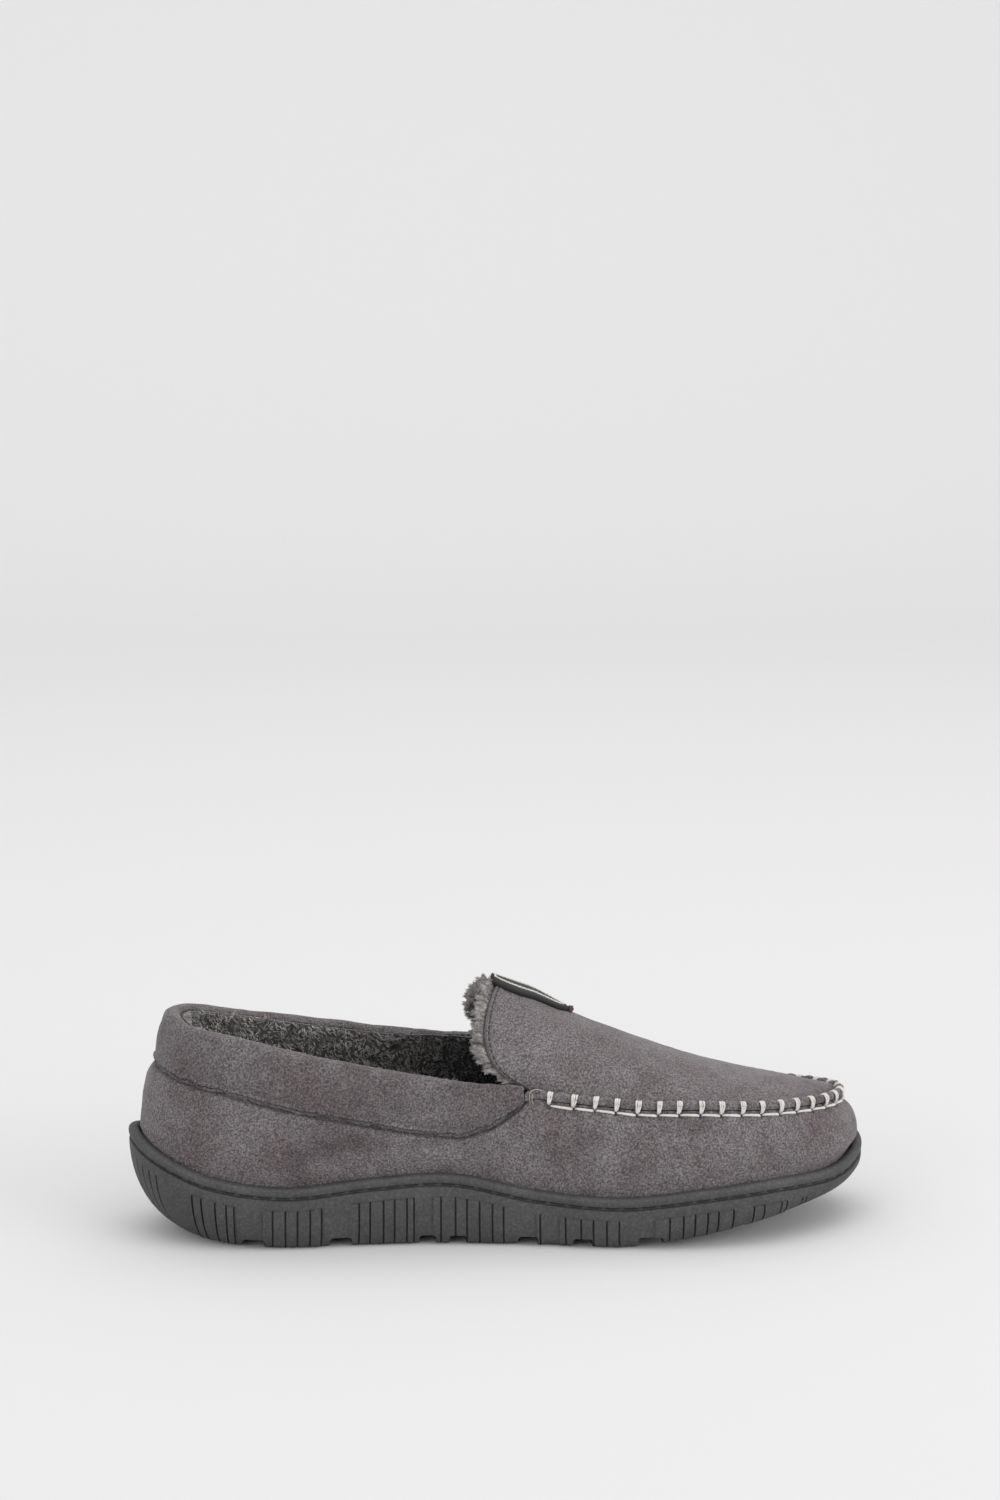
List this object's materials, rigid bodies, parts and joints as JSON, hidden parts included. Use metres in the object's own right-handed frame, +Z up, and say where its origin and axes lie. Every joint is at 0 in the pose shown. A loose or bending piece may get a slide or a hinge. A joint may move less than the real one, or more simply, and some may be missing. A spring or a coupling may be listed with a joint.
{
  "type": "moccasin house slipper",
  "caption": "Closed-heel moccasin house slipper for a left foot: suede upper with padded collar, whip-stitched plug, fleece lining and moulded rubber cup sole.",
  "frame": {"origin": "centre of the bounding box in plan, on the ground under the sole", "axes": "+X to the toe, +Z up, -Y the inner side of the left foot"},
  "size_m": [0.302, 0.1041, 0.1046],
  "materials": {
    "rubber": "matt moulded rubber",
    "suede": "napped faux suede",
    "fleece": "curly knitted pile",
    "fur": "soft pile, lighter at the tips",
    "foam": "open-cell foam",
    "eva_foam": "closed-cell foam",
    "board": "fibre board",
    "black_thread": "twisted thread",
    "natural_thread": "twisted thread",
    "white_thread": "waxed cord",
    "maroon_thread": "twisted thread",
    "badge_patch": "soft moulded patch"
  },
  "bodies": {
    "root": {"outsole": "rubber", "sole_stitch_thread": "black_thread", "midsole_wedge": "eva_foam", "insole_board": "board", "strobel_thread": "natural_thread", "insole_foam": "foam", "sock_pile": "fleece", "side_wall": "suede", "heel_counter": "board", "quarter_lining": "fleece", "vamp_lining": "fleece", "collar_band": "suede", "collar_foam": "foam", "lining_seam_thread": "black_thread", "collar_topstitch_lower": "black_thread", "collar_topstitch_upper": "black_thread", "plug": "suede", "plug_lining": "fleece", "plug_edge_thread": "black_thread", "tongue_fur": "fur", "seam_ridge": "suede", "whip_thread": "white_thread", "seam_tack_inner": "white_thread", "seam_tack_outer": "white_thread", "badge": "badge_patch", "badge_border": "white_thread", "badge_tack": "maroon_thread"}
  },
  "joints": []
}
